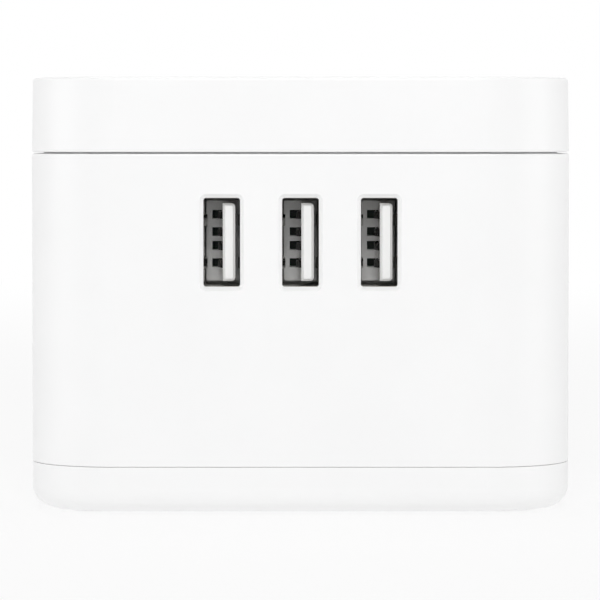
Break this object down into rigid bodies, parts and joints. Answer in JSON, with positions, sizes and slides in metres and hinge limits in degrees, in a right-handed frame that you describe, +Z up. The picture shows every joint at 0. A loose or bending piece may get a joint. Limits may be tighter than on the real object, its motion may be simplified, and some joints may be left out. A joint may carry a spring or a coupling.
{
  "type": "cube power strip",
  "caption": "Rounded cube power strip with upright charging ports in front, mains outlets in the other sides and a push button on top.",
  "frame": {"origin": "on the standing surface, under the middle of the case", "axes": "+Z up, the front with the charging ports towards -Y, +X to the right seen from the front"},
  "size_m": [0.078, 0.078, 0.0625],
  "materials": {
    "case_white": "satin moulding",
    "outlet_white": "fine grain moulding",
    "button_white": "satin moulding",
    "spring_steel": "drawn wire",
    "switch_black": "moulded",
    "terminal_brass": "stamped strip",
    "foot_rubber": "matt",
    "bushing_rubber": "matt",
    "inner_plastic": "moulded",
    "board_green": "solder mask",
    "ferrite": "sintered",
    "winding_tape": "taped",
    "can_sleeve": "shrunk sleeve",
    "chip_black": "moulded",
    "lead_black": "extruded",
    "lead_white": "extruded",
    "port_metal": "tinned sheet",
    "port_white": "moulded",
    "contact_metal": "dark plated strip",
    "screw_steel": "zinc plated"
  },
  "bodies": {
    "case": {"top_cap": "case_white", "main_shell": "case_white", "base_tray": "case_white", "outlet_block_left": "outlet_white", "outlet_block_right": "outlet_white", "outlet_block_back": "outlet_white", "button_spring": "spring_steel", "switch_body": "switch_black", "switch_terminals": "terminal_brass", "rubber_feet": "foot_rubber", "cord_bushing": "bushing_rubber", "cord_clamp": "inner_plastic", "line_bus": "terminal_brass", "neutral_bus": "terminal_brass", "earth_bus": "terminal_brass", "charger_board": "board_green", "transformer_core": "ferrite", "transformer_winding": "winding_tape", "input_capacitor": "can_sleeve", "output_capacitors": "can_sleeve", "control_chips": "chip_black", "switch_lead": "lead_black", "board_line_lead": "lead_black", "board_neutral_lead": "lead_white", "port_shell_left": "port_metal", "port_insulator_left": "port_white", "port_contacts_left": "contact_metal", "port_shell_middle": "port_metal", "port_insulator_middle": "port_white", "port_contacts_middle": "contact_metal", "port_shell_right": "port_metal", "port_insulator_right": "port_white", "port_contacts_right": "contact_metal", "case_screws": "screw_steel", "outlet_screws": "screw_steel", "board_screws": "screw_steel", "switch_screws": "screw_steel", "clamp_screws": "screw_steel"},
    "button": {"power_button": "button_white"}
  },
  "joints": [
    {"name": "button_press", "type": "slide", "parent": "case", "child": "button", "axis": [0, 0, -1], "range_m": [0, 0.002], "stiffness_N_per_m": 900, "springref_m": -0.0015, "deforming": ["button_spring"]}
  ]
}
